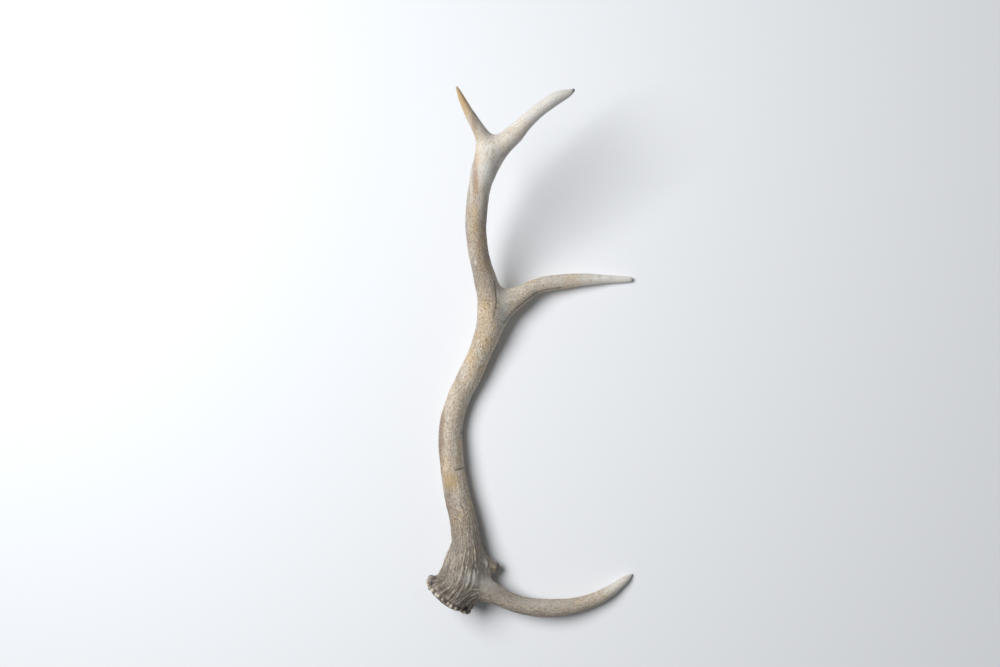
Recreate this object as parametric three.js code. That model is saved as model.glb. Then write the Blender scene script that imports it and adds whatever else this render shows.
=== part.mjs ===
// A shed deer antler lying on its outer side: burr, beam, brow tine, blunt knob, middle tine and a
// fork of two points at the top. It is one branching piece of bone, split at its three main forks.
//
// Every station below is in plan coordinates, in millimetres: x from the beam towards the tines,
// y along the beam from the burr to the top, z from the outer side of the antler to the inner side.
// The whole plan is then turned and lowered until the antler lies on the swell of its beam and on
// the tips of the brow tine and the middle tine.

import * as THREE from 'three';
import { mergeVertices } from 'three/addons/utils/BufferGeometryUtils.js';

// Middle line of each limb: [x, y, z, radius].
const BEAM = [
  [0, 0, 62, 24], [8, 8, 59, 26.5], [15, 20, 55.5, 28.5], [18.5, 38, 51, 25.7], [20, 59, 46, 19.5],
  [18, 78, 42, 17.8], [14, 98, 38, 17], [7, 124, 33, 16.3], [2, 153, 27.5, 15.8],
  [-1, 182, 22, 15.8], [-1.5, 204, 18.5, 15.3], [2, 224, 16, 15], [11, 250, 16.5, 14.7],
  [23, 274, 18.5, 15.2], [36, 302, 21.5, 15], [46, 329, 25.5, 15.4], [50, 351, 30, 15.8],
  [49.5, 373, 34.5, 14.8], [45, 398, 42, 13.8], [39.5, 418, 50, 13], [35.5, 437, 58, 12.9],
  [33.3, 455, 67.5, 13.1], [33.3, 473, 77.5, 13.4], [35, 490, 88, 13.5], [37.5, 508, 99, 13.6],
  [42.5, 528, 110.5, 13.9], [47, 541, 118.5, 14], [50.5, 552, 125, 13],
];
const BROW_TINE = [
  [20, 20, 55, 12], [34, 11.5, 58, 15], [47, 4, 62, 14], [63, -2.7, 66, 12], [79, -9, 69, 11],
  [96, -13, 72, 10.9], [115, -14.8, 75, 11.3], [134, -14.2, 77.5, 11], [154, -11, 79.5, 9.5],
  [178, -3.7, 81, 8.3], [198, 6.3, 82, 7.2], [210.5, 14.8, 82, 6], [219.5, 21.8, 82, 4.6], [227.5, 28, 81, 1.6],
];
const MIDDLE_TINE = [
  [50, 362, 31, 8], [68, 371, 31, 11], [83, 378, 31, 11], [94, 383, 32, 9.8],
  [105.5, 389.5, 32.5, 9.8], [122, 394.5, 33, 9.9], [141, 397, 34, 9.5], [160, 399, 35.5, 9],
  [179, 400, 38, 7.6], [198, 400, 40.5, 5.6], [216, 399.8, 43, 4.5], [230.5, 399.6, 46, 3.4],
];
const REAR_TOP_TINE = [
  [50.5, 552, 125, 8], [42.6, 567.5, 133, 7.9], [33.9, 582, 140, 6.9], [25.8, 595, 146, 5.5],
  [18.9, 608, 151, 4.3], [12.3, 621.5, 157, 1.9],
];
const FRONT_TOP_TINE = [
  [50.5, 552, 125, 8], [65.5, 559.3, 130, 9.3], [80, 570.5, 132, 10.1], [91, 581.5, 135, 9.6],
  [102, 591.5, 137, 8.6], [113, 600.5, 139, 8.2], [126, 609.5, 141, 8], [136, 614.5, 142, 6.8],
  [145, 618, 143, 4.5], [150.7, 621.5, 143, 2.3],
];
const KNOB = [[24, 36, 50, 12], [42, 35, 50, 9], [55.5, 31.5, 49, 7]];

// Webs of bone that fill the corners of the two upper forks.
const MIDDLE_OUTER_WEB = [[50, 330, 26, 8], [65, 348, 29, 6], [81, 366, 31, 5], [96, 381, 32, 4]];
const MIDDLE_INNER_WEB = [[45, 396, 42, 7], [57, 383, 36.5, 6], [72, 376, 32, 6]];
const TOP_OUTER_WEB = [[45, 530, 111, 9], [60, 548, 121, 8], [78, 568, 131, 5]];

// The burr is a round-edged flange round the foot of the beam, with the swollen seal under it. Its
// axis points up the beam.
const BURR_AXIS = [0.56, 0.81, 0.03];
const FLANGE = { radius: 33, half: 4.5, beyond: 1 };
const SEAL = { radius: 22, half: 5, beyond: 2 };

// How far limbs melt together where they meet.
const WEB = 5;

// A fork: its centre, the normal of its plane, and the directions in that plane, in degrees from
// +x, of the three walls that part its limbs: on the back of the beam, in the crotch, and under
// the side limb.
const BROW_FORK = { centre: [20, 20, 55], normal: [-0.07, 0.24, 0.97], walls: [160, 8, -66] };
const MIDDLE_FORK = { centre: [50, 371, 34], normal: [0.09, -0.34, 0.93], walls: [180, 45, -52] };
const TOP_FORK = { centre: [50, 551, 124.5], normal: [0.09, -0.38, 0.92], walls: [185, 74, -25] };

// The gap between two neighbours at a fork is at least twice this, and the rings of a limb lean
// towards a fork's walls over this many times the lean at the walls, counted as at least the third.
const HALF_GAP = 0.15;
const LEAN_REACH = 2.2;
const LEAST_LEAN = 0.4;

// Rest: turned about y, then about x, in degrees, then moved until the underside of the box that
// holds the antler is centred on the origin.
const ROLL = 14.53;
const PITCH = 5.55;
const REST_PLACE = [-113.78, -290.43, -21.69];

// Fineness of the facets.
const BEAM_SIDES = 26;
const TINE_SIDES = 18;
const BURR_STEP = 3;
const BEAM_STEP = 9;
const TINE_STEP = 7.5;
const END_ROWS = 4;
const LINE_STEP = 4;
const MARCHES = 80;
const SKIN_ERROR = 0.002;
const ARC_DIVISIONS = 60;
const MERGE_WITHIN = 1e-3;

const BONE = { color: 0xa69c8b, roughness: 0.75, metalness: 0 };
const PALE_BONE = { color: 0xcfc9bb, roughness: 0.65, metalness: 0 };
const OCHRE_BONE = { color: 0xb08a55, roughness: 0.65, metalness: 0 };

const RAD = Math.PI / 180;
const vector = (list) => new THREE.Vector3(list[0], list[1], list[2]);
const along = new THREE.Vector3();
const offset = new THREE.Vector3();
const probe = new THREE.Vector3();

// A limb is a chain of round cones on a smooth line through its stations.
class Limb {
  constructor(stations) {
    const girths = stations.map((station) => new THREE.Vector3(station[3], 0, 0));
    this.line = new THREE.CatmullRomCurve3(stations.map(vector), false, 'catmullrom', 0.5);
    this.girth = new THREE.CatmullRomCurve3(girths, false, 'catmullrom', 0.5);
    this.line.arcLengthDivisions = ARC_DIVISIONS * stations.length;
    this.length = this.line.getLength();
    this.cells = [];
    const count = Math.ceil(this.length / LINE_STEP);
    for (let i = 0; i <= count; i += 1) this.cells.push(this.at(i / count));
  }

  // Place, direction and radius at a share of the length, from 0 to 1.
  at(share) {
    const t = this.line.getUtoTmapping(share);
    return {
      place: this.line.getPoint(t),
      direction: this.line.getTangent(t),
      radius: this.girth.getPoint(t).x,
    };
  }

  // Share of the length at the cell that is closest to a point.
  nearest(point) {
    const gaps = this.cells.map((cell) => cell.place.distanceTo(point));
    return gaps.indexOf(Math.min(...gaps)) / (this.cells.length - 1);
  }

  // Distance from a point to this limb's skin, below zero inside.
  distance(point) {
    let least = Infinity;
    for (let i = 1; i < this.cells.length; i += 1) {
      const a = this.cells[i - 1];
      const b = this.cells[i];
      along.subVectors(b.place, a.place);
      offset.subVectors(point, a.place);
      const share = THREE.MathUtils.clamp(offset.dot(along) / along.lengthSq(), 0, 1);
      const radius = THREE.MathUtils.lerp(a.radius, b.radius, share);
      least = Math.min(least, offset.addScaledVector(along, -share).length() - radius);
    }
    return least;
  }
}

const beam = new Limb(BEAM);
const browTine = new Limb(BROW_TINE);
const middleTine = new Limb(MIDDLE_TINE);
const rearTopTine = new Limb(REAR_TOP_TINE);
const frontTopTine = new Limb(FRONT_TOP_TINE);
const swellings = [KNOB, MIDDLE_OUTER_WEB, MIDDLE_INNER_WEB, TOP_OUTER_WEB];
const limbs = [beam, browTine, middleTine, rearTopTine, frontTopTine];
limbs.push(...swellings.map((stations) => new Limb(stations)));
const foot = vector(BEAM[0]);
const burrAxis = vector(BURR_AXIS).normalize();

// How far a point is above the burr's plane, on the beam's side.
function heightOverBurr(point) {
  return offset.subVectors(point, foot).dot(burrAxis);
}

// Distance from a point to a round-edged disc on the burr's axis.
function discDistance(point, disc) {
  const height = heightOverBurr(point);
  const out = offset.addScaledVector(burrAxis, -height).length();
  const past = Math.max(out - (disc.radius - disc.half), 0);
  return Math.hypot(past, height + disc.beyond) - disc.half;
}

// Distance from a point to the skin of the whole antler, with all its parts melted together. The
// beam, first in the list, ends at the burr.
function skinDistance(point) {
  const gaps = limbs.map((limb) => limb.distance(point));
  gaps[0] = Math.max(gaps[0], -heightOverBurr(point));
  gaps.push(discDistance(point, FLANGE), discDistance(point, SEAL));
  return -WEB * Math.log(gaps.reduce((sum, gap) => sum + Math.exp(-gap / WEB), 0));
}

// The point where a spoke from inside the antler comes out through the skin.
function skinPoint(origin, spoke) {
  const direction = spoke.clone().normalize();
  let far = 0;
  for (let i = 0; i < MARCHES; i += 1) {
    const gap = skinDistance(probe.copy(origin).addScaledVector(direction, far));
    far -= gap;
    if (Math.abs(gap) < SKIN_ERROR) break;
  }
  return origin.clone().addScaledVector(direction, far);
}

// A fork's centre, normal and wall directions as vectors.
function forkFrame({ centre, normal, walls }) {
  const up = vector(normal).normalize();
  const across = new THREE.Vector3(1, 0, 0).projectOnPlane(up).normalize();
  const wall = (angle) => across.clone().applyAxisAngle(up, angle * RAD);
  return { centre: vector(centre), normal: up, walls: walls.map(wall) };
}

// How a limb leaves a fork between two walls: where its last ring is centred, its direction in the
// fork's plane, and the lean along that direction of each side of the ring that lies on the walls.
function leave(fork, limbDirection, walls, origin) {
  const direction = limbDirection.clone().projectOnPlane(fork.normal).normalize();
  const side = new THREE.Vector3().crossVectors(direction, fork.normal);
  const pair = walls.map((i) => fork.walls[i]).sort((a, b) => b.dot(side) - a.dot(side));
  const [right, left] = pair.map((wall) => wall.dot(direction) / Math.abs(wall.dot(side)));
  return { direction, right, left, origin };
}

// The fork's centre moved into a limb until its walls keep their half of the gap.
function setBack(fork, direction, walls) {
  const flat = direction.clone().projectOnPlane(fork.normal).normalize();
  const slopes = walls.map((i) => new THREE.Vector3().crossVectors(fork.walls[i], flat).length());
  return fork.centre.clone().addScaledVector(flat, HALF_GAP / Math.min(...slopes));
}

// One ring of points on the skin, from spokes round a place on the line. The right and left sides
// each lean along the line, and raise tips every spoke towards the line's direction, in degrees.
function ring({ origin, forward, normal, right = 0, left = 0 }, sides, raise = 0) {
  const side = new THREE.Vector3().crossVectors(forward, normal).normalize();
  const rightArm = side.clone().addScaledVector(forward, right).normalize();
  const leftArm = side.clone().negate().addScaledVector(forward, left).normalize();
  const points = [];
  for (let i = 0; i < sides; i += 1) {
    const angle = 2 * Math.PI * i / sides;
    const arm = i < sides / 2 ? rightArm : leftArm;
    const spoke = normal.clone().multiplyScalar(Math.cos(angle))
      .addScaledVector(arm, Math.abs(Math.sin(angle)))
      .multiplyScalar(Math.cos(raise * RAD))
      .addScaledVector(forward, Math.sin(raise * RAD));
    points.push(skinPoint(origin, spoke));
  }
  return points;
}

// The rings of a limb between two shares of its length, as centres and directions. Near a fork, or
// the burr, at either end they lean over until the last one lies on the fork's walls or the burr.
function course(limb, from, to, step, start, end, normals) {
  const length = (to - from) * limb.length;
  const count = Math.ceil(length / step);
  const ends = [[start, limb.at(from).place, 1], [end, limb.at(to).place, -1]];
  return Array.from({ length: count + 1 }, (_, i) => {
    const share = i / count;
    const { place, direction, radius } = limb.at(from + share * (to - from));
    const row = { origin: place, forward: direction, right: 0, left: 0 };
    ends.filter(([leaving]) => leaving).forEach(([leaving, endPlace, sense]) => {
      const gone = length * (sense > 0 ? share : 1 - share);
      const widest = Math.max(Math.abs(leaving.right), Math.abs(leaving.left), LEAST_LEAN);
      const lean = Math.max(1 - gone / (LEAN_REACH * radius * widest), 0);
      row.origin.addScaledVector(leaving.origin, lean).addScaledVector(endPlace, -lean);
      row.forward.lerp(leaving.direction.clone().multiplyScalar(sense), lean).normalize();
      row.right += lean * sense * (sense > 0 ? leaving.right : leaving.left);
      row.left += lean * sense * (sense > 0 ? leaving.left : leaving.right);
    });
    row.normal = normals[0].clone().lerp(normals[1], share).projectOnPlane(row.forward).normalize();
    return row;
  });
}

// A closed surface gathered from triangles.
class Surface {
  constructor() {
    this.corners = [];
  }

  // The band between two rings that follow each other.
  band(near, far) {
    near.forEach((a, i) => {
      const next = (i + 1) % near.length;
      this.corners.push(a, near[next], far[i], near[next], far[next], far[i]);
    });
  }

  bands(list) {
    for (let i = 1; i < list.length; i += 1) this.band(list[i - 1], list[i]);
  }

  // Triangles from one point to the first steps of a ring, facing along the line or back.
  fan(point, points, facesAlong, steps = points.length) {
    for (let i = 0; i < steps; i += 1) {
      const a = points[i];
      const b = points[(i + 1) % points.length];
      this.corners.push(point, facesAlong ? a : b, facesAlong ? b : a);
    }
  }

  // Rings that round off the end of a limb, from its last row to a single point.
  roundEnd(row, last, sides, facesAlong) {
    const sign = facesAlong ? 1 : -1;
    const list = [last];
    for (let i = 1; i < END_ROWS; i += 1) list.push(ring(row, sides, sign * 90 * i / END_ROWS));
    this.bands(facesAlong ? list : list.reverse());
    const outer = facesAlong ? list[list.length - 1] : list[0];
    this.fan(skinPoint(row.origin, row.forward.clone().multiplyScalar(sign)), outer, facesAlong);
  }

  mesh(name, finish) {
    const geometry = new THREE.BufferGeometry();
    const numbers = this.corners.flatMap((corner) => corner.toArray());
    geometry.setAttribute('position', new THREE.Float32BufferAttribute(numbers, 3));
    const whole = mergeVertices(geometry, MERGE_WITHIN);
    whole.computeVertexNormals();
    const mesh = new THREE.Mesh(whole, new THREE.MeshStandardMaterial(finish));
    mesh.name = name;
    return mesh;
  }
}

const browFork = forkFrame(BROW_FORK);
const middleFork = forkFrame(MIDDLE_FORK);
const topFork = forkFrame(TOP_FORK);
const browShare = beam.nearest(browFork.centre);
const middleShare = beam.nearest(middleFork.centre);
const [BACK, CROTCH, BELOW] = [0, 1, 2];

// Burr, foot of the beam and the beam up to the middle fork, open to the brow tine on one side.
function lowerBeam() {
  const surface = new Surface();
  const seat = setBack(browFork, browTine.at(0).direction.negate(), [CROTCH, BELOW]);
  const { direction } = beam.at(browShare);
  const footEnd = leave(browFork, direction.clone().negate(), [BACK, BELOW], seat);
  const beamStart = leave(browFork, direction, [BACK, CROTCH], seat);
  const back = beam.at(middleShare).direction.negate();
  const beamEnd = leave(middleFork, back, [BACK, BELOW], setBack(middleFork, back, [BACK, BELOW]));
  const footNormals = [browFork.normal, browFork.normal];
  const beamNormals = [browFork.normal, middleFork.normal];
  const burrStart = { direction: burrAxis, right: 0, left: 0, origin: foot };
  const footRows = course(beam, 0, browShare, BURR_STEP, burrStart, footEnd, footNormals);
  const beamRows = course(beam, browShare, middleShare, BEAM_STEP, beamStart, beamEnd, beamNormals);
  const footRings = footRows.map((row) => ring(row, BEAM_SIDES));
  const beamRings = beamRows.map((row) => ring(row, BEAM_SIDES));
  surface.roundEnd(footRows[0], footRings[0], BEAM_SIDES, false);
  surface.bands(footRings);
  surface.fan(seat, footRings[footRings.length - 1], true, BEAM_SIDES / 2);
  surface.fan(seat, beamRings[0], false, BEAM_SIDES / 2);
  surface.bands(beamRings);
  surface.fan(beamEnd.origin, beamRings[beamRings.length - 1], true);
  return surface;
}

// The beam between the middle fork and the top fork.
function upperBeam() {
  const surface = new Surface();
  const out = beam.at(middleShare).direction;
  const back = beam.at(1).direction.negate();
  const start = leave(middleFork, out, [BACK, CROTCH], setBack(middleFork, out, [BACK, CROTCH]));
  const end = leave(topFork, back, [BACK, BELOW], setBack(topFork, back, [BACK, BELOW]));
  const normals = [middleFork.normal, topFork.normal];
  const rows = course(beam, middleShare, 1, BEAM_STEP, start, end, normals);
  const list = rows.map((row) => ring(row, BEAM_SIDES));
  surface.fan(start.origin, list[0], false);
  surface.bands(list);
  surface.fan(end.origin, list[list.length - 1], true);
  return surface;
}

// A tine from the walls of its fork to its rounded tip.
function tine(limb, fork, walls) {
  const surface = new Surface();
  const { direction } = limb.at(0);
  const start = leave(fork, direction, walls, setBack(fork, direction, walls));
  const rows = course(limb, 0, 1, TINE_STEP, start, null, [fork.normal, fork.normal]);
  const list = rows.map((row) => ring(row, TINE_SIDES));
  surface.fan(start.origin, list[0], false);
  surface.bands(list);
  surface.roundEnd(rows[rows.length - 1], list[list.length - 1], TINE_SIDES, true);
  return surface;
}

const plan = new THREE.Group();
plan.rotation.set(PITCH * RAD, ROLL * RAD, 0);
plan.position.fromArray(REST_PLACE);
plan.add(
  lowerBeam().mesh('beam_lower', BONE),
  upperBeam().mesh('beam_upper', BONE),
  tine(browTine, browFork, [CROTCH, BELOW]).mesh('brow_tine', BONE),
  tine(middleTine, middleFork, [CROTCH, BELOW]).mesh('middle_tine', PALE_BONE),
  tine(rearTopTine, topFork, [BACK, CROTCH]).mesh('rear_top_tine', OCHRE_BONE),
  tine(frontTopTine, topFork, [CROTCH, BELOW]).mesh('front_top_tine', PALE_BONE),
);

const antler = new THREE.Group();
antler.add(plan);

export default antler;
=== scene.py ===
"""The looks of a shed deer antler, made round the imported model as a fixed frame.

The antler is one skin, melted together from chains of round cones, a burr and a seal. It is laid in rings
from inside each limb, and parted into six pieces at the walls of its three forks. Relief then moves every
point along the skin's own direction: gutters that run up from the burr, pearls, pits, a crease and a crack.
Relief and stains depend only on a point's place, so neighbouring pieces agree along their walls.

Lengths in the tables are millimetres in plan coordinates: x from the beam towards the tines, y along the
beam from the burr to the top, z from the outer side of the antler to the inner side. The plan is turned and
lowered into the frame at the very end.
"""

import itertools
import math

import bpy
import numpy as np
from mathutils import Matrix, Vector


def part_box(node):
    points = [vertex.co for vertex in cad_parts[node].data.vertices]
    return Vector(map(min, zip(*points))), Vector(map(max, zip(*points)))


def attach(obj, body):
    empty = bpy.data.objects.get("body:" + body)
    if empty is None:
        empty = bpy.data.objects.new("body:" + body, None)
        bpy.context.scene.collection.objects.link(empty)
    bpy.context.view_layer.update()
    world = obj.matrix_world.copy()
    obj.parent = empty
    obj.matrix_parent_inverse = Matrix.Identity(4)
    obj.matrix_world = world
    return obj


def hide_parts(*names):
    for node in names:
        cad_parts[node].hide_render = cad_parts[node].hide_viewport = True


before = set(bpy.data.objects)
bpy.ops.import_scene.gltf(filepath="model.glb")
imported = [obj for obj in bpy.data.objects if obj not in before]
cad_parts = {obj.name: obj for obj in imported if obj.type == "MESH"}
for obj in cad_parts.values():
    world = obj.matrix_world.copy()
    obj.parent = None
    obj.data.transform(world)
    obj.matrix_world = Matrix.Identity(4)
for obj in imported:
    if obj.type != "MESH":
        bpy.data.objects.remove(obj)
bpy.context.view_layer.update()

bl_info = {
    "name": "Deer antler",
    "version": (1, 0, 0),
    "blender": (4, 5, 0),
    "location": "3D View > Sidebar > Antler",
    "description": "Builds a shed deer antler with a pearled burr, gutters and bleached tines",
    "category": "Add Mesh",
}

MM = 0.001
TINY = 1e-9

# ---------------------------------------------------------------------------------------------------------
# Shape of the antler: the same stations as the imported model
# ---------------------------------------------------------------------------------------------------------

# Middle line of each limb: x, y, z, radius.
BEAM = [
    (0, 0, 62, 24), (8, 8, 59, 26.5), (15, 20, 55.5, 28.5), (18.5, 38, 51, 25.7), (20, 59, 46, 19.5),
    (18, 78, 42, 17.8), (14, 98, 38, 17), (7, 124, 33, 16.3), (2, 153, 27.5, 15.8), (-1, 182, 22, 15.8),
    (-1.5, 204, 18.5, 15.3), (2, 224, 16, 15), (11, 250, 16.5, 14.7), (23, 274, 18.5, 15.2),
    (36, 302, 21.5, 15), (46, 329, 25.5, 15.4), (50, 351, 30, 15.8), (49.5, 373, 34.5, 14.8),
    (45, 398, 42, 13.8), (39.5, 418, 50, 13), (35.5, 437, 58, 12.9), (33.3, 455, 67.5, 13.1),
    (33.3, 473, 77.5, 13.4), (35, 490, 88, 13.5), (37.5, 508, 99, 13.6), (42.5, 528, 110.5, 13.9),
    (47, 541, 118.5, 14), (50.5, 552, 125, 13),
]
BROW_TINE = [
    (20, 20, 55, 12), (34, 11.5, 58, 15), (47, 4, 62, 14), (63, -2.7, 66, 12), (79, -9, 69, 11),
    (96, -13, 72, 10.9), (115, -14.8, 75, 11.3), (134, -14.2, 77.5, 11), (154, -11, 79.5, 9.5),
    (178, -3.7, 81, 8.3), (198, 6.3, 82, 7.2), (210.5, 14.8, 82, 6), (219.5, 21.8, 82, 4.6),
    (227.5, 28, 81, 1.6),
]
MIDDLE_TINE = [
    (50, 362, 31, 8), (68, 371, 31, 11), (83, 378, 31, 11), (94, 383, 32, 9.8), (105.5, 389.5, 32.5, 9.8),
    (122, 394.5, 33, 9.9), (141, 397, 34, 9.5), (160, 399, 35.5, 9), (179, 400, 38, 7.6),
    (198, 400, 40.5, 5.6), (216, 399.8, 43, 4.5), (230.5, 399.6, 46, 3.4),
]
REAR_TOP_TINE = [
    (50.5, 552, 125, 8), (42.6, 567.5, 133, 7.9), (33.9, 582, 140, 6.9), (25.8, 595, 146, 5.5),
    (18.9, 608, 151, 4.3), (12.3, 621.5, 157, 1.9),
]
FRONT_TOP_TINE = [
    (50.5, 552, 125, 8), (65.5, 559.3, 130, 9.3), (80, 570.5, 132, 10.1), (91, 581.5, 135, 9.6),
    (102, 591.5, 137, 8.6), (113, 600.5, 139, 8.2), (126, 609.5, 141, 8), (136, 614.5, 142, 6.8),
    (145, 618, 143, 4.5), (150.7, 621.5, 143, 2.3),
]
KNOB = [(24, 36, 50, 12), (42, 35, 50, 9), (55.5, 31.5, 49, 7)]
MIDDLE_OUTER_WEB = [(50, 330, 26, 8), (65, 348, 29, 6), (81, 366, 31, 5), (96, 381, 32, 4)]
MIDDLE_INNER_WEB = [(45, 396, 42, 7), (57, 383, 36.5, 6), (72, 376, 32, 6)]
TOP_OUTER_WEB = [(45, 530, 111, 9), (60, 548, 121, 8), (78, 568, 131, 5)]

# The burr's round-edged flange and the seal under it: radius, half of the thickness, and how far each lies
# beyond the foot of the beam. The burr's axis points up the beam.
BURR_AXIS = (0.56, 0.81, 0.03)
FLANGE = (33, 4.5, 1)
SEAL = (22, 5, 2)

# How far limbs melt together where they meet.
WEB = 5

# Forks: centre, normal of the plane, and the directions in it of the three walls that part the limbs, in
# degrees from +x: on the back of the beam, in the crotch, and under the side limb.
BACK, CROTCH, BELOW = range(3)
BROW_FORK = ((20, 20, 55), (-0.07, 0.24, 0.97), (160, 8, -66))
MIDDLE_FORK = ((50, 371, 34), (0.09, -0.34, 0.93), (180, 45, -52))
TOP_FORK = ((50, 551, 124.5), (0.09, -0.38, 0.92), (185, 74, -25))

# Rings of a limb lean towards a fork's walls over this many times the lean at the walls.
LEAN_REACH = 2.2
LEAST_LEAN = 0.4

# Rest: turned about y, then about x, in degrees, then moved onto the surface.
ROLL = 14.53
PITCH = 5.55
REST_PLACE = (-113.78, -290.43, -21.69)

# The camera looks square down on the plan: its place, its lens and sensor, and the spots across and down its
# frame.
CAMERA_PLACE = (63.4, 330.3, 1500)
LENS = 40.8
SENSOR = 36
FRAME = (1000, 667)

# Fineness of the skin.
SIDES = 240
CELL_STEP = 2
FINE_STEPS = 40
CHUNK = 4096
FIELD_REACH = 30
MARCHES = 90
SKIN_ERROR = 0.003
SETTLES = 3
RELAX_TURNS = 10

# ---------------------------------------------------------------------------------------------------------
# Small tools
# ---------------------------------------------------------------------------------------------------------


def unit(vectors):
    """Each vector divided by its length, or left at nothing."""
    vectors = np.asarray(vectors, float)
    return vectors / np.maximum(np.linalg.norm(vectors, axis=-1, keepdims=True), TINY)


def flatten(vectors, normal):
    """Each vector without its part along the unit normal."""
    share = (vectors * normal).sum(-1, keepdims=True)
    return vectors - share * normal


def mix(a, b, share):
    """From a to b by the share, row by row."""
    return a + (b - a) * np.asarray(share)[..., None]


def ease(low, high, values):
    """0 below low, 1 above high, and 3t^2 - 2t^3 between them."""
    t = np.clip((values - low) / (high - low), 0, 1)
    return t * t * (3 - 2 * t)


def bell(values, width):
    """exp(-(v / width)^2): 1 at zero, fading within a few widths."""
    return np.exp(-((values / width) ** 2))


def ball_directions(count):
    """Unit vectors spread evenly over a ball, on a spiral that turns by the golden angle."""
    i = np.arange(count) + 0.5
    tilt = np.arccos(1 - 2 * i / count)
    turn = math.pi * (1 + 5**0.5) * i
    return np.stack([np.cos(turn) * np.sin(tilt), np.sin(turn) * np.sin(tilt), np.cos(tilt)], axis=-1)


LATTICE_WAYS = ball_directions(64)
LATTICE_PRIMES = (73856093, 19349663, 83492791)
SEED_PRIME = 2654435761
NOISE_GAIN = 1.6


def scramble(cells, seed):
    """A whole number for each lattice cell that looks random: products with primes, folded together."""
    cells = cells.astype(np.int64).view(np.uint64)
    mixed = np.full(cells.shape[:-1], seed * SEED_PRIME % 2**63, np.uint64)
    for axis, prime in enumerate(LATTICE_PRIMES):
        mixed ^= cells[..., axis] * np.uint64(prime)
    mixed ^= mixed >> np.uint64(13)
    mixed *= np.uint64(0x5BD1E995)
    return mixed ^ (mixed >> np.uint64(15))


def noise(points, seed):
    """Gradient noise, about -1 to 1 with a grain of one unit. Each corner of a point's lattice cell has a
    direction of its own, and the point's offsets along them are blended by 6t^5 - 15t^4 + 10t^3."""
    cells = np.floor(points)
    part = points - cells
    fade = part**3 * (part * (part * 6 - 15) + 10)
    total = np.zeros(len(points))
    for corner in itertools.product((0, 1), repeat=3):
        ways = LATTICE_WAYS[scramble(cells + corner, seed) % np.uint64(len(LATTICE_WAYS))]
        weight = np.where(corner, fade, 1 - fade).prod(-1)
        total += weight * ((part - corner) * ways).sum(-1)
    return NOISE_GAIN * total


# ---------------------------------------------------------------------------------------------------------
# Limbs and the skin round them
# ---------------------------------------------------------------------------------------------------------


def smooth_line(stations, steps):
    """Points on a Catmull-Rom spline through the stations, at whole and part numbers of stations."""
    first, last = stations[0], stations[-1]
    knots = np.vstack([2 * first - stations[1], stations, 2 * last - stations[-2]])
    i = np.clip(steps.astype(int), 0, len(stations) - 2)
    f = (steps - i)[:, None]
    a, b, c, d = (knots[i + k] for k in range(4))
    return b + 0.5 * f * (c - a + f * (2 * a - 5 * b + 4 * c - d + f * (3 * b - a - 3 * c + d)))


class Limb:
    """A chain of round cones on a smooth line through its stations."""

    def __init__(self, stations, gone_before=0.0):
        stations = np.array(stations, float)
        steps = np.linspace(0, len(stations) - 1, FINE_STEPS * (len(stations) - 1) + 1)
        self.line = smooth_line(stations, steps)
        hops = np.linalg.norm(np.diff(self.line[:, :3], axis=0), axis=1)
        self.gone = np.concatenate([[0], np.cumsum(hops)])
        self.length = self.gone[-1]
        self.gone_before = gone_before
        shares = np.linspace(0, 1, math.ceil(self.length / CELL_STEP) + 1)
        cells = self.at(shares)
        self.start = cells[:-1, :3]
        self.hop = np.diff(cells[:, :3], axis=0)
        self.radius = cells[:-1, 3]
        self.growth = np.diff(cells[:, 3])
        self.middle = self.start + self.hop / 2
        self.reach = np.maximum(cells[:-1, 3], cells[1:, 3]) + CELL_STEP / 2
        self.cell_length = self.length / len(self.start)

    def at(self, shares):
        """Rows of x, y, z and radius at shares of the length."""
        gone = np.asarray(shares) * self.length
        return np.stack([np.interp(gone, self.gone, column) for column in self.line.T], axis=-1)

    def direction(self, shares):
        """Unit directions of the line at shares of the length, from points half a cell on either side."""
        step = CELL_STEP / 2 / self.length
        ahead = self.at(np.minimum(np.asarray(shares) + step, 1))
        behind = self.at(np.maximum(np.asarray(shares) - step, 0))
        return unit((ahead - behind)[..., :3])

    def nearest(self, place):
        """Share of the length at the cell that is closest to a place."""
        return np.linalg.norm(self.start - place, axis=1).argmin() / len(self.start)

    def read(self, points, cells):
        """For each point the distance to the skin of the chosen cells, the closest place on the middle
        line and the length gone there. Along a cell the share is the point's offset, cut to 0 to 1."""
        start, hop = self.start[cells], self.hop[cells]
        span = (hop * hop).sum(1)
        reach = points @ hop.T - (start * hop).sum(1)
        share = np.clip(reach / span, 0, 1)
        square = (points * points).sum(1)[:, None] - 2 * points @ start.T + (start * start).sum(1)
        square += share * (share * span - 2 * reach)
        gap = np.sqrt(np.maximum(square, 0)) - self.radius[cells] - share * self.growth[cells]
        rows = np.arange(len(points))
        best = gap.argmin(1)
        share = share[rows, best]
        place = start[best] + share[:, None] * hop[best]
        gone = (np.flatnonzero(cells)[best] + share) * self.cell_length + self.gone_before
        return gap[rows, best], place, gone


beam = Limb(BEAM)
brow_tine = Limb(BROW_TINE)
middle_tine = Limb(MIDDLE_TINE)
rear_top_tine = Limb(REAR_TOP_TINE)
front_top_tine = Limb(FRONT_TOP_TINE)
swellings = [Limb(stations) for stations in (KNOB, MIDDLE_OUTER_WEB, MIDDLE_INNER_WEB, TOP_OUTER_WEB)]
limbs = [beam, brow_tine, middle_tine, rear_top_tine, front_top_tine, *swellings]
foot = np.array(BEAM[0][:3], float)
burr_axis = unit(BURR_AXIS)


def burr_reading(points):
    """Height over the burr's plane, and the vector straight out from its axis, for each point."""
    offset = points - foot
    height = offset @ burr_axis
    return height, offset - height[:, None] * burr_axis


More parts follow.
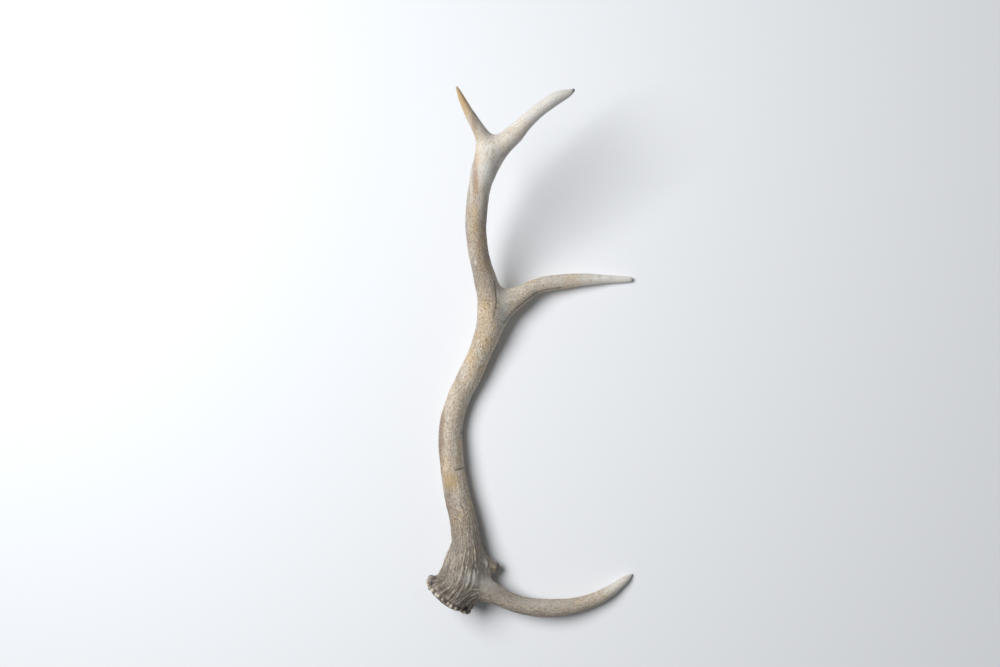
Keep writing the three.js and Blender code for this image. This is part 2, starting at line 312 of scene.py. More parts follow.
def disc_reading(points, disc):
    """Distance to a round-edged disc on the burr's axis, hypot(past the flat part, height) - half, and the
    direction out of it."""
    radius, half, beyond = disc
    height, out = burr_reading(points)
    height = height + beyond
    far = np.linalg.norm(out, axis=1)
    past = np.maximum(far - (radius - half), 0)
    way = height[:, None] * burr_axis + out * (past / np.maximum(far, TINY))[:, None]
    size = np.hypot(past, height)
    return size - half, way / np.maximum(size, TINY)[:, None]


def skin_chunk(points):
    """Distance to the skin of the whole antler, and the direction out of it. The parts melt together as
    -web * log(sum(exp(-gap / web))). Cells too far away to matter to these points are left out."""
    centre = points.mean(0)
    spread = np.linalg.norm(points - centre, axis=1).max()
    rough = [np.linalg.norm(limb.middle - centre, axis=1) - limb.reach for limb in limbs]
    limit = min(gap.min() for gap in rough) + 2 * spread + FIELD_REACH
    gaps, ways = [], []
    for limb, gap in zip(limbs, rough):
        close = gap < limit
        if not close.any():
            continue
        level, place, _ = limb.read(points, close)
        way = unit(points - place)
        if limb is beam:
            under = -burr_reading(points)[0]
            way = np.where((under > level)[:, None], -burr_axis, way)
            level = np.maximum(level, under)
        gaps.append(level)
        ways.append(way)
    for disc in (FLANGE, SEAL):
        level, way = disc_reading(points, disc)
        gaps.append(level)
        ways.append(way)
    gaps = np.array(gaps)
    least = gaps.min(0)
    weights = np.exp((least - gaps) / WEB)
    total = weights.sum(0)
    out = (np.array(ways) * (weights / total)[..., None]).sum(0)
    return least - WEB * np.log(total), out


def skin(points):
    """Distance to the skin and the unit direction out of it, chunk by chunk."""
    gaps = np.empty(len(points))
    outs = np.empty((len(points), 3))
    for first in range(0, len(points), CHUNK):
        part = slice(first, first + CHUNK)
        gaps[part], outs[part] = skin_chunk(points[part])
    return gaps, unit(outs)


def settle(points):
    """Points moved along the skin's direction until they lie on it, and that direction."""
    points = points.copy()
    for _ in range(SETTLES):
        gap, out = skin(points)
        points -= gap[:, None] * out
    return points, out


def come_out(origins, spokes):
    """Where spokes from inside the antler come out through the skin: each steps on by its own distance to
    the skin until that is next to nothing."""
    far = np.zeros(len(origins))
    going = np.arange(len(origins))
    for _ in range(MARCHES):
        gap, _ = skin(origins[going] + far[going, None] * spokes[going])
        far[going] -= gap
        going = going[np.abs(gap) > SKIN_ERROR]
        if len(going) == 0:
            break
    return origins + far[:, None] * spokes


# ---------------------------------------------------------------------------------------------------------
# Rings, forks and rows
# ---------------------------------------------------------------------------------------------------------


class Fork:
    """Where three limbs part: a centre, the normal of a plane, and three wall directions in it."""

    def __init__(self, centre, normal, walls):
        self.centre = np.array(centre, float)
        self.normal = unit(normal)
        across = unit(flatten(np.array([1.0, 0, 0]), self.normal))
        up = np.cross(self.normal, across)
        turns = np.radians(walls)
        self.walls = np.cos(turns)[:, None] * across + np.sin(turns)[:, None] * up

    def leave(self, limb_direction, walls):
        """How a limb leaves between two walls: its direction in the plane, and the lean along that of the
        right and left side of its last ring, which lie on the walls."""
        direction = unit(flatten(limb_direction, self.normal))
        side = np.cross(direction, self.normal)
        pair = sorted((self.walls[i] for i in walls), key=lambda wall: -wall @ side)
        right, left = (wall @ direction / abs(wall @ side) for wall in pair)
        return {"origin": self.centre, "direction": direction, "right": right, "left": left}


brow_fork = Fork(*BROW_FORK)
middle_fork = Fork(*MIDDLE_FORK)
top_fork = Fork(*TOP_FORK)
brow_share = beam.nearest(brow_fork.centre)
middle_share = beam.nearest(middle_fork.centre)


class Rows:
    """Rings to be laid along a limb between two shares of its length. Near a fork, or the burr, at either
    end they lean over until the last one lies on the fork's walls or on the burr."""

    def __init__(self, limb, span, shares, start, end, normals):
        first, last = span
        spots = limb.at(first + shares * (last - first))
        self.origin = spots[:, :3]
        self.forward = limb.direction(first + shares * (last - first))
        self.right = np.zeros(len(shares))
        self.left = np.zeros(len(shares))
        length = (last - first) * limb.length
        for leaving, end_share, sense in ((start, first, 1), (end, last, -1)):
            if leaving is None:
                continue
            gone = length * (shares if sense > 0 else 1 - shares)
            right, left = (leaving["right"], leaving["left"])[::sense]
            widest = max(abs(right), abs(left), LEAST_LEAN)
            lean = np.maximum(1 - gone / (LEAN_REACH * spots[:, 3] * widest), 0)
            self.origin = self.origin + lean[:, None] * (leaving["origin"] - limb.at(end_share)[:3])
            self.forward = unit(mix(self.forward, sense * leaving["direction"], lean))
            self.right += lean * sense * right
            self.left += lean * sense * left
        self.normal = unit(flatten(mix(normals[0], normals[1], shares), self.forward))

    def rings(self):
        """The rings of skin points, one row of SIDES points each. Round the line a spoke is the normal
        times cos(turn) plus the right or left arm times |sin(turn)|."""
        side = unit(np.cross(self.forward, self.normal))
        arms = [unit(side + self.forward * self.right[:, None])]
        arms.append(unit(-side + self.forward * self.left[:, None]))
        turn = 2 * math.pi * np.arange(SIDES) / SIDES
        arm = np.where((turn < math.pi)[None, :, None], arms[0][:, None], arms[1][:, None])
        cosine, sine = np.cos(turn)[None, :, None], np.abs(np.sin(turn))[None, :, None]
        spokes = unit(self.normal[:, None] * cosine + arm * sine)
        origins = np.broadcast_to(self.origin[:, None], spokes.shape)
        found = come_out(origins.reshape(-1, 3), spokes.reshape(-1, 3))
        return found.reshape(spokes.shape)

    def round_end(self, last, rises):
        """Rings that close the end at row number last, with spokes that rise from the ring towards the
        line by each of these angles, and the end point itself. Signs of the angles give the side."""
        rises = np.radians(rises)
        turn = 2 * math.pi * np.arange(SIDES) / SIDES
        forward, normal, origin = self.forward[last], self.normal[last], self.origin[last]
        side = unit(np.cross(forward, normal))
        flat = np.cos(turn)[:, None] * normal + np.sin(turn)[:, None] * side
        spokes = np.cos(rises)[:, None, None] * flat + np.sin(rises)[:, None, None] * forward
        spokes = np.concatenate([spokes.reshape(-1, 3), [forward * np.sign(rises[0])]])
        found = come_out(np.broadcast_to(origin, spokes.shape), spokes)
        return found[:-1].reshape(len(rises), SIDES, 3), found[-1]


def relax(grid, turns):
    """Evens out rows of points on the skin. Each point between the first and last row moves half way to
    the mean of its four neighbours, over and over, and is then settled back onto the skin."""
    for _ in range(turns):
        for _ in range(RELAX_TURNS):
            inner = grid[1:-1]
            beside = np.roll(inner, 1, axis=1) + np.roll(inner, -1, axis=1)
            grid[1:-1] = inner / 2 + (grid[:-2] + grid[2:] + beside) / 8
        points, _ = settle(grid[1:-1].reshape(-1, 3))
        grid[1:-1] = points.reshape(grid[1:-1].shape)
    return grid


def even(count):
    """Shares from 0 to 1 in equal steps."""
    return np.linspace(0, 1, count + 1)


def closing(count):
    """Shares from 0 to 1 whose steps halve on the way: (4t - t^2) / 3 with t in equal steps."""
    t = np.linspace(0, 1, count + 1)
    return (4 * t - t * t) / 3


# ---------------------------------------------------------------------------------------------------------
# Relief, stains and painted shade, from a point's place alone
# ---------------------------------------------------------------------------------------------------------

# The bone grew up the beam and out along the brow tine from the same burr. This stem leads the gutters of
# the burr's lower side into the brow tine.
BROW_STEM = [(2, -2, 62, 20), (14, 2, 60, 20), (30, 7, 60, 17), *BROW_TINE[2:]]
brow_stem = Limb(BROW_STEM)
stems = [beam, brow_stem]
stems += [
    Limb(MIDDLE_TINE, middle_share * beam.length),
    Limb(REAR_TOP_TINE, beam.length),
    Limb(FRONT_TOP_TINE, beam.length),
]
UP = np.array([0.0, 0, 1])

# The line on the plan where the two streams of gutters part, from the burr to the crotch.
STREAM_START = np.array([-9.0, -8])
STREAM_END = np.array([54.0, 22])
STREAM_BLEND = 5
STEM_BLEND = 3

# Nominal girth radius used to unroll the grain, and how much longer than wide the grain is.
GRAIN_RADIUS = 17
GRAIN_STRETCH = 3

# Gutters: how many noise cells go round by the length gone, how deep they are, and their length.
GUTTER_ROUND = ([0, 40, 120, 300], [9.4, 7.9, 6.5, 5.8])
BEAM_GUTTERS = ([0, 25, 55, 95, 140, 200, 330, 700], [1.45, 1.15, 0.9, 0.6, 0.32, 0.16, 0.08, 0.05])
BROW_GUTTERS = ([0, 30, 50, 85, 130, 180, 260], [1.4, 1.1, 0.85, 0.5, 0.25, 0.12, 0.05])
GUTTER_LENGTH = 60
GUTTER_WIDTH = 0.25
GUTTER_WOBBLE = 0.3

# How bleached the bone is by the length gone up the beam, along the brow tine, and along each other tine.
BEAM_PALE = ([0, 40, 70, 100, 130, 200, 300, 380, 430, 500, 545, 600, 700],
             [0.44, 0.46, 0.48, 0.56, 0.74, 0.74, 0.72, 0.68, 0.60, 0.66, 0.94, 1.08, 1.02])
BROW_PALE = ([0, 60, 90, 130, 180, 200, 222, 260], [0.46, 0.40, 0.40, 0.48, 0.60, 0.70, 0.95, 1.05])
MIDDLE_PALE = ([0, 30, 60, 95, 118, 132, 144, 200], [0.55, 0.60, 0.68, 0.78, 0.82, 0.88, 1.02, 1.06])
REAR_PALE = ([0, 20, 80], [0.90, 0.88, 0.82])
FRONT_PALE = ([0, 30, 60, 110, 130], [0.88, 0.9, 1.02, 1.12, 1.12])


class Growth:
    """Where points lie on the growing antler: which stem they belong to and how far up and round it."""

    def __init__(self, points):
        gaps, self.gone, self.round = [], [], []
        for stem in stems:
            everywhere = np.ones(len(stem.start), bool)
            parts = [stem.read(part, everywhere) for part in np.array_split(points, len(points) // CHUNK + 1)]
            gap, place, gone = (np.concatenate(column) for column in zip(*parts))
            along = stem.direction((gone - stem.gone_before) / stem.length)
            up = unit(flatten(UP, along))
            offset = points - place
            turn = np.arctan2((offset * np.cross(along, up)).sum(1), (offset * up).sum(1))
            gaps.append(gap)
            self.gone.append(gone)
            self.round.append(np.stack([np.cos(turn), np.sin(turn)], axis=-1))
        line = unit(STREAM_END - STREAM_START)
        across = (points[:, :2] - STREAM_START) @ np.array([-line[1], line[0]])
        self.stream = across
        brow = ease(STREAM_BLEND, -STREAM_BLEND, across)
        others = np.exp((np.min(gaps, axis=0) - np.array(gaps)) / STEM_BLEND)
        others[1] = 0
        others /= others.sum(0)
        self.weights = others * (1 - brow)
        self.weights[1] = brow

    def blend(self, values):
        """One value for each stem, blended by how much a point belongs to it."""
        values = np.array(values)
        return np.einsum("sn...,sn->n...", values, self.weights)

    def grain(self):
        """Unrolled place: round the stem in two components, and up it, shrunk by the grain's stretch."""
        values = []
        for gone, turn in zip(self.gone, self.round):
            values.append(np.column_stack([turn * GRAIN_RADIUS, gone / GRAIN_STRETCH]))
        return self.blend(values)


def gutters(growth, depth):
    """Gutters along the stems: valleys exp(-(n / width)^2) along the zero lines of a noise that is sampled
    round and along the stem, so they run on, fork and join. Returns relief and how deep in a gutter."""
    valleys, rises = [], []
    for gone, turn in zip(growth.gone[:2], growth.round[:2]):
        size = np.interp(gone, *GUTTER_ROUND)
        place = np.column_stack([turn * size[:, None], gone / GUTTER_LENGTH])
        sway = np.column_stack([noise(place * [0.4, 0.4, 2.6], seed) for seed in (11, 12, 13)])
        wobble = GUTTER_WOBBLE * sway
        broad = noise(place + wobble, 21)
        fine = noise((place + wobble) * [1.7, 1.7, 1.5], 22)
        deep = 0.55 + 0.45 * noise(place * [0.6, 0.6, 1.2], 23)
        valleys.append(np.maximum(deep * bell(broad, GUTTER_WIDTH), 0.55 * bell(fine, GUTTER_WIDTH)))
        rises.append(ease(0.3, 0.8, np.abs(broad)))
    fades = [np.interp(growth.gone[0], *BEAM_GUTTERS), np.interp(growth.gone[1], *BROW_GUTTERS)]
    delta = 1 - 0.85 * bell(growth.stream, 12) * ease(24, 48, growth.gone[1])
    rest = growth.weights[2:].sum(0)
    strength = sum(w * f for w, f in zip(growth.weights[:2], fades)) * delta + 0.05 * rest
    valley = sum(w * v for w, v in zip(growth.weights[:2], valleys)) + rest * valleys[0]
    rise = sum(w * r for w, r in zip(growth.weights[:2], rises))
    relief = depth * strength * (0.35 * rise - valley)
    return relief, valley * strength, rise * strength


# Teeth and pearls of the burr, in rows round it: number, radius out from the axis, height over the burr's
# plane, radius, rise, and how much longer they are along the axis than round it.
PEARL_ROWS = (
    (29, 32.0, -3.8, 2.7, 3.1, 1.6),
    (26, 28.5, -6.0, 2.9, 1.5, 1.0),
    (21, 25.0, -6.6, 2.4, 1.1, 1.0),
)
# Two bigger lumps on the rim, and the pit beside the second: place on the plan, radius and rise.
LUMPS = (((-24, 21, 66), 7.0, 3.2), ((22, -19, 70), 6.5, 3.6))
BURR_PIT = ((22, -14, 83.5), 3.8, 4.6)
RIM_CUT = 2.3
PEARL_SEED = 7


def pearl_table():
    """Centres, radii, rises, stretches and wear of all teeth and pearls, each shifted and sized a little
    at random. The lumps come last."""
    draw = np.random.default_rng(PEARL_SEED)
    east = unit(np.cross(burr_axis, UP))
    north = np.cross(burr_axis, east)
    rows = []
    for count, out, height, radius, rise, stretch in PEARL_ROWS:
        turn = 2 * math.pi * (np.arange(count) + draw.uniform(-0.3, 0.3, count)) / count
        ways = np.cos(turn)[:, None] * east + np.sin(turn)[:, None] * north
        lift = height + draw.uniform(-0.9, 0.9, count)
        sizes = [radius * draw.uniform(0.75, 1.25, count), rise * draw.uniform(0.5, 1.2, count)]
        centres = foot + ways * out + lift[:, None] * burr_axis
        rows.append(np.column_stack([centres, *sizes, np.full(count, stretch)]))
    rows.append([[*place, radius, rise, 1] for place, radius, rise in LUMPS])
    table = np.concatenate(rows)
    table[:, :3], _ = settle(table[:, :3])
    return table, draw.uniform(0, 1, len(table))


def burr(points):
    """Teeth on the burr's rim and pearls under it: domes h * (1 - (d / r)^2)^0.8, the highest one at each
    point, over a rim that is cut back so that the gaps between them are deep. Returns relief, gap and worn
    top."""
    height, out = burr_reading(points)
    far = np.linalg.norm(out, axis=1)
    rim = ease(27, 31, far) * ease(2.5, -1, height) + ease(22, 26, far) * ease(-2, -5, height)
    rim = np.minimum(rim, 1)
    relief, hollow, worn = -RIM_CUT * rim, 0.95 * rim, np.zeros(len(points))
    near = np.flatnonzero((np.abs(height) < 16) & (far < 42))
    table, wear = pearl_table()
    offset = points[near, None] - table[:, :3]
    lift = offset @ burr_axis
    beside = offset - lift[..., None] * burr_axis
    distance = np.hypot(np.linalg.norm(beside, axis=2), lift / table[:, 5]) / table[:, 3]
    domes = table[:, 4] * np.maximum(1 - distance**2, 0) ** 0.8
    best = domes.argmax(1)
    top = domes[np.arange(len(near)), best]
    relief[near] += top
    share = np.clip(top / table[best, 4], 0, 1)
    hollow[near] *= 1 - ease(0.0, 0.5, share)
    worn[near] = ease(0.6, 0.9, share) * ease(0.25, 0.5, wear[best]) * ease(-7, -5, height[near]) * rim[near]
    place, radius, depth = BURR_PIT
    pit = bell(np.linalg.norm(points - np.array(place), axis=1), radius)
    # The pit also darkens the gap mark, as painted shade in the deep pit.
    return relief - depth * pit, np.maximum(hollow, pit), worn


def seal(points):
    """The break under the burr: a rough, porous dome, with noise at three sizes."""
    height, out = burr_reading(points)
    far = np.linalg.norm(out, axis=1)
    under = ease(-2.5, -5.5, height) * ease(27, 22, far)
    coarse = noise(points / 5.5, 31)
    fine = noise(points / 2.1, 32)
    pits = ease(0.25, 0.6, noise(points / 1.5, 33))
    return under * (0.8 * coarse + 0.35 * fine - 0.7 * pits), under, under * pits


# Lines cut into the bone, each by stations of a limb and the turns round it at which the line passes them,
# in degrees from the limb's right side towards its inner side. The crease parts the beam from the web of the
# middle fork, the undercut follows that web and the tine, and the crack crosses the beam. The crease is also
# darkened as painted shade in it, and the undercut as painted shadow under the web and the tine.
CREASE = (BEAM[15:19], (88, 71, 53, 42))
UNDERCUT = (MIDDLE_OUTER_WEB[1:] + MIDDLE_TINE[4:7], (55, 62, 52, 38, 36, 34))
CRACK = (np.linspace(BEAM[7], BEAM[8], 30)[27:], (73, 50, 10))


def skin_line(stations, turns):
    """Points on the skin beside stations: place + radius * (cos(turn) * side + sin(turn) * inner way),
    with the side at right angles to the limb's run, then brought onto the skin."""
    stations = np.array(stations, float)
    runs = unit(np.gradient(stations[:, :3], axis=0))
    sides = unit(np.cross(runs, UP))
    turns = np.radians(turns)[:, None]
    ways = np.cos(turns) * sides + np.sin(turns) * np.cross(sides, runs)
    points, _ = settle(stations[:, :3] + stations[:, 3:] * ways)
    return points


def line_gap(points, line):
    """Distance from each point to a line of straight runs, given by stations and turns."""
    line = skin_line(*line)
    least = np.full(len(points), np.inf)
    for a, b in zip(line[:-1], line[1:]):
        share = np.clip((points - a) @ (b - a) / ((b - a) @ (b - a)), 0, 1)
        least = np.minimum(least, np.linalg.norm(points - a - share[:, None] * (b - a), axis=1))
    return least


def relief_and_marks(points, shape):
    """How far each point moves along the skin's direction, in millimetres, and the marks that its finish
    reads, each from 0 to 1."""
    growth = Growth(points)
    grain = growth.grain()
    gutter, valley, rise = gutters(growth, shape.gutter_depth / MM)
    pearls, hollow, worn = burr(points)
    height, out = burr_reading(points)
    plain = 1 - ease(27, 31, np.linalg.norm(out, axis=1)) * ease(1, -2, height)
    broken, under, pits = seal(points)
    swell = 0.45 * noise(points / 24, 41) + 0.2 * noise(points / 9, 42)
    fibre = 0.07 * noise(grain / 1.1, 43) + 0.05 * noise(points / 1.7, 44)
    crease = bell(line_gap(points, CREASE), 1.2) * ease(334, 372, points[:, 1])
    undercut = bell(line_gap(points, UNDERCUT), 1.3) * ease(326, 350, points[:, 1])
    crease = np.maximum(crease, 0.9 * undercut)
    crack = bell(line_gap(points, CRACK), 1.0)
    relief = gutter * plain * (1 - under) + pearls + broken + swell + fibre
    relief -= 0.6 * crease + 0.6 * crack
    pales = [np.interp(growth.gone[0], *BEAM_PALE), np.interp(growth.gone[1], *BROW_PALE)]
    for gone, stem, stops in zip(growth.gone[2:], stems[2:], (MIDDLE_PALE, REAR_PALE, FRONT_PALE)):
        pales.append(np.interp(gone - stem.gone_before, *stops))
    ridge = 0.8 * rise * plain * ease(0.15, 0.6, noise(grain / 2.6, 45))
    # Dirt in the gutters, and painted shade in the crease, under the middle tine and in the burr's pit.
    dark = np.maximum(valley * plain, hollow) + 0.65 * crease + crack + 0.7 * pits
    marks = {
        "grain": grain,
        "pale": growth.blend(pales),
        "gutter": np.clip(dark, 0, 1),
        "fleck": np.clip(np.maximum(ridge, worn), 0, 1),
    }
    marks.update(stain_marks(points, grain))
    return relief, marks


# Stains by kind, with some painted shade among the umber, rust and soot: centre, half sizes along x, y and z,
# strength. They fade out at about one half size. A centre of three numbers is a place. One of two numbers is
# a spot of the camera's frame, across and down, and the blot lies on the skin that the camera sees there.
STAINS = {
    "ash": (
        ((66, 352, 42), (9, 32, 14), 1.0),
        ((502, 293), (10, 12, 12), 0.9),
        ((32, 26, 78), (15, 9, 12), 0.9),
        ((490, 583), (12, 7, 12), 0.9),
        ((484.5, 568.5), (9, 11, 12), 0.6),
        ((3, 185, 39), (6, 34, 10), 0.6),
        ((21, 462, 82), (3.5, 36, 20), 0.9),
        ((472, 270), (4, 14, 12), 0.8),
        ((479, 366), (2.5, 7, 8), 0.5),
        ((539, 602), (46, 5, 9), 0.6),
        ((36, 400, 56), (5, 40, 12), 0.35),
        ((560, 281.5), (46, 9, 10), 0.5),
    ),
    "ochre": (
        ((443, 415), (2.5, 26, 14), 0.5),
        ((441.5, 447), (2.5, 30, 12), 0.4),
        ((444.5, 480), (2.5, 18, 9), 0.6),
        ((447.5, 501.5), (2.5, 14, 9), 0.4),
        ((450, 482), (9, 11, 12), 1.5),
        ((460, 488), (4, 10, 8), 0.3),
        ((485, 308), (9, 16, 12), 0.7),
        ((483, 327.5), (9, 16, 12), 0.45),
        ((24, 303, 33), (4, 20, 10), 0.45),
        ((477.5, 160), (4, 14, 12), 0.7),
        ((34, 512, 118), (4, 20, 14), 0.8),
        ((32, 476, 93), (4.5, 40, 20), 0.6),
        ((478, 248), (5, 16, 14), 0.4),
        ((40, 396, 50), (6, 24, 12), 0.5),
        ((4, 250, 33), (13, 30, 14), 0.25),
        ((479, 195), (9, 70, 26), 0.25),
        ((-10, 100, 52), (5, 10, 10), 0.3),
        ((464, 588.5), (12, 2, 8), 0.12),
        ((502, 603.5), (16, 2.5, 9), 0.3),
        ((493, 567.5), (4, 3, 8), 0.5),
        ((18, 606, 155), (14, 32, 26), 1.2),
        ((474.5, 129), (4, 14, 14), 0.6),
        ((503, 140), (6, 10, 9), 0.2),
    ),
    "umber_and_shade": (
        ((-14, 200, 28), (5.4, 70, 20), 1.05),
        ((-4, 108, 44), (7.5, 32, 18), 0.95),
        ((0, 72, 54), (14, 18, 18), 0.5),
        ((-9, 24, 70), (9, 20, 16), 0.8),
        # Painted shade along the middle tine's underside.
        ((100, 377, 35), (34, 7, 5), 0.5),
        # The brow tine's brown lower edge, with painted shade on its underside.
        ((120, -21, 78), (60, 4, 8), 0.6),
        ((9, 274, 24), (5, 28, 14), 0.5),
        ((30, 335, 34), (5, 30, 14), 0.35),
        ((35, 404, 53), (12, 28, 18), 0.6),
        ((31.5, 524, 117), (4, 36, 18), 0.7),
        ((20.5, 450, 76), (4, 30, 18), 0.35),
        # Painted shade on the upper beam's right, shaded side, in three blots.
        ((48.5, 478, 86), (7.5, 52, 26), 0.95),
        ((46, 430, 58), (6, 34, 20), 0.6),
        ((57.5, 534, 110), (4.5, 24, 20), 0.8),
        ((24.5, 498, 100), (4, 36, 24), 0.6),
        # The rear top tine's brown right side with painted shade on it, then painted shade under the front
        # top tine.
        ((33, 594, 146), (3, 22, 10), 0.6),
        ((68, 548, 122), (12, 7, 12), 0.6),
        ((94, 570, 131), (26, 6, 8), 0.4),
        ((14, 170, 24), (4, 50, 14), 0.3),
        ((40, 32, 76), (5, 4, 8), 0.3),
    ),
    "rust_and_shade": (
        ((451, 508), (4, 10, 8), 0.35),
        ((-12.5, 205, 29), (1.8, 44, 12), 0.6),
        ((482, 331), (5, 7, 8), 0.3),
        ((476, 177.5), (2.2, 28, 14), 0.8),
        ((33, 452, 80), (2.5, 22, 16), 0.25),
        ((478, 248), (4, 14, 14), 0.35),
        ((469, 243), (2, 16, 12), 0.4),
        # Painted shade to the left of the middle fork's crease.
        ((493, 297), (2.5, 13, 10), 0.35),
        ((508, 131.5), (4, 2, 6), 0.4),
        ((515, 606), (12, 4, 8), 0.2),
        ((494, 567), (2.5, 2.5, 6), 0.4),
        ((474.5, 126.5), (2, 10, 8), 0.45),
    ),
    "chalk": (
        ((44.5, 530, 125), (6, 24, 14), 0.6),
        ((478, 579), (16, 9, 12), 0.5),
        ((20, 2, 86), (14, 5, 8), 0.25),
        ((82, 350, 36), (4, 20, 8), 0.2),
        ((40, 490, 103), (2.5, 24, 14), 0.4),
        ((475.5, 262.5), (1.9, 2.6, 5), 0.8),
        ((595.5, 278), (3.5, 3, 5), 0.9),
        ((604.5, 277), (4, 3, 5), 1.0),
        ((485, 562), (5, 5.5, 8), 0.6),
        ((429.5, 580), (2.5, 3, 5), 0.6),
        ((82, 374, 43), (12, 8, 9), 0.25),
        ((118, -10, 84), (24, 3, 7), 0.25),
        ((5, 180, 40), (1.5, 22, 8), 0.3),
        ((12, 118, 48), (1.6, 16, 8), 0.3),
    ),
    "soot_and_shade": (
        ((574.5, 90), (2.5, 4, 6), 1.0),
        ((238, 398.5, 46), (1.9, 5, 6), 0.5),
        ((180, 398, 47), (1.2, 1.2, 4), 0.4),
        ((191, 404, 45), (1.1, 1.1, 4), 0.5),
        ((207, 400, 46), (1.2, 1.0, 4), 0.35),
        ((230, 26, 81), (2, 6, 5), 0.6),
        ((498, 565.5), (3.2, 6, 9), 0.8),
        ((14, 201, 22), (2, 2.5, 6), 0.8),
        # Painted shade on the lump and in the pit under the brow tine's rim.
        ((24, -20, 76), (6, 6, 10), 0.5),
        ((467, 609), (4, 4, 5), 1.2),
        ((431, 583), (3, 2.4, 6), 1.0),
    ),
}


def seen_places(spots):
    """Where the camera's lines of sight through these spots of its frame meet the skin."""
    across = (np.array(spots, float) - np.array(FRAME) / 2) * [1, -1] * SENSOR / (LENS * FRAME[0])
    sights = unit(np.column_stack([across, np.full(len(spots), -1.0)]))
    return come_out(np.tile(np.array(CAMERA_PLACE, float), (len(spots), 1)), -sights)


def placed(blots):
    """The same blots, with every centre as a place."""
    spots = [blot for blot in blots if len(blot[0]) == len(FRAME)]
    places = seen_places([centre for centre, _, _ in spots]) if spots else []
    seen = [(place, sizes, strength) for place, (_, sizes, strength) in zip(places, spots)]
    return seen + [blot for blot in blots if len(blot[0]) > len(FRAME)]


def stain_marks(points, grain):
    """Soft blots exp(-d^2) of each kind of stain, some of them painted shade, with d ruffled by noise along
    the grain.
    """
    ruffle = 1 + 0.35 * noise(grain / 3.2, 51) + 0.25 * noise(points / 4.5, 52)
    marks = {}
    for kind, blots in STAINS.items():
        total = np.zeros(len(points))
        for centre, sizes, strength in placed(blots):
            distance = np.linalg.norm((points - np.array(centre)) / np.array(sizes), axis=1)
            total = np.maximum(total, strength * np.exp(-((distance * ruffle) ** 2)))
        marks[kind] = total
    return marks


# ---------------------------------------------------------------------------------------------------------
# Meshes
# ---------------------------------------------------------------------------------------------------------

PITCHED = Matrix.Rotation(math.radians(PITCH), 3, "X")
TURN_TO_REST = np.array(PITCHED @ Matrix.Rotation(math.radians(ROLL), 3, "Y"))


def to_frame(points):
    """Plan coordinates in millimetres to the frame's metres: turned, then moved onto the surface."""
    return (points @ TURN_TO_REST.T + REST_PLACE) * MM


class Shell:
    """A closed surface gathered from grids of rings, end points and walls."""

    def __init__(self):
        self.points = []
        self.faces = []
        self.walls = []
        self.count = 0

    def add_points(self, points):
        """Adds points and returns their numbers, in the same layout."""
        points = np.asarray(points, float)
        numbers = self.count + np.arange(points.size // 3).reshape(points.shape[:-1])
        self.points.append(points.reshape(-1, 3))
        self.count += points.size // 3
        return numbers

    def add_bands(self, rings):
        """Four-sided faces between rings of numbers that follow each other."""
        near, far = rings[:-1], rings[1:]
        faces = np.stack([near, np.roll(near, -1, axis=1), np.roll(far, -1, axis=1), far], axis=-1)
        self.faces.append(faces.reshape(-1, 4))

    def add_fan(self, tip, ring, faces_along, wall=False):
        """Three-sided faces from one point to a run of points, facing along the line or back. A wall is a
        fan that closes a piece where it was parted from its neighbour."""
        a, b = (ring[:-1], ring[1:]) if faces_along else (ring[1:], ring[:-1])
        fan = np.stack([np.full(len(a), tip), a, b], axis=-1)
        self.walls.append((fan, wall))

    def build(self, name, shape):
        """The finished mesh object: points settled on the skin, moved by the relief, turned and lowered
        into the frame, with the marks as attributes and the edges round its walls kept sharp."""
        quads = np.concatenate(self.faces)
        fans = np.concatenate([fan for fan, _ in self.walls])
        used, corners = np.unique(np.concatenate([quads.ravel(), fans.ravel()]), return_inverse=True)
        laid = np.concatenate(self.points)[used]
        points, out = settle(laid)
        relief, marks = relief_and_marks(points, shape)
        inner = np.isin(used, [fan[0, 0] for fan, wall in self.walls if wall])
        points = np.where(inner[:, None], laid, points + relief[:, None] * out)
        mesh = bpy.data.meshes.new(name)
        mesh.vertices.add(len(points))
        mesh.vertices.foreach_set("co", to_frame(points).ravel())
        sizes = np.concatenate([np.full(len(quads), 4), np.full(len(fans), 3)])
        mesh.loops.add(len(corners))
        mesh.loops.foreach_set("vertex_index", corners)
        mesh.polygons.add(len(sizes))
        mesh.polygons.foreach_set("loop_start", np.concatenate([[0], np.cumsum(sizes)[:-1]]))
        mesh.update(calc_edges=True)
        mesh.shade_smooth()
        self.sharpen_walls(mesh, len(quads))
        for mark, values in marks.items():
            kind, field = ("FLOAT_VECTOR", "vector") if values.ndim == 2 else ("FLOAT", "value")
            layer = mesh.attributes.new(mark, kind, "POINT")
            layer.data.foreach_set(field, values.astype(np.float32).ravel())
        piece = bpy.data.objects.new(name, mesh)
        bpy.context.scene.collection.objects.link(piece)
        return piece

    def sharpen_walls(self, mesh, quads):
        """Marks the edges between a wall and the skin sharp, so the skin's shading runs on past them."""
        on_wall = np.concatenate([np.full(len(fan), wall) for fan, wall in self.walls])
        on_wall = np.concatenate([np.zeros(quads, bool), on_wall])
        edges = np.empty(len(mesh.loops), np.int32)
        mesh.loops.foreach_get("edge_index", edges)
        sizes = np.empty(len(mesh.polygons), np.int32)
        mesh.polygons.foreach_get("loop_total", sizes)
        owner = np.repeat(on_wall, sizes)
        walls = np.bincount(edges[owner], minlength=len(mesh.edges))
        skins = np.bincount(edges[~owner], minlength=len(mesh.edges))
        sharp = mesh.attributes.new("sharp_edge", "BOOLEAN", "EDGE")
        sharp.data.foreach_set("value", (walls > 0) & (skins > 0))


def closed(ring):
    """A ring of numbers with its first one repeated at the end."""
    return np.append(ring, ring[0])


SEAL_DEPTH = 7
SEAL_ROWS = 34
FOOT_ROWS = 46
BEAM_ROWS = 300
KNOB_ROWS = 110
UPPER_ROWS = 170
TIP_RISES = np.linspace(0, 90, 9)[1:-1]
HALF = SIDES // 2


def half_ring(ring):
    """The right half of a ring of numbers, from its top to its bottom."""
    return ring[: HALF + 1]


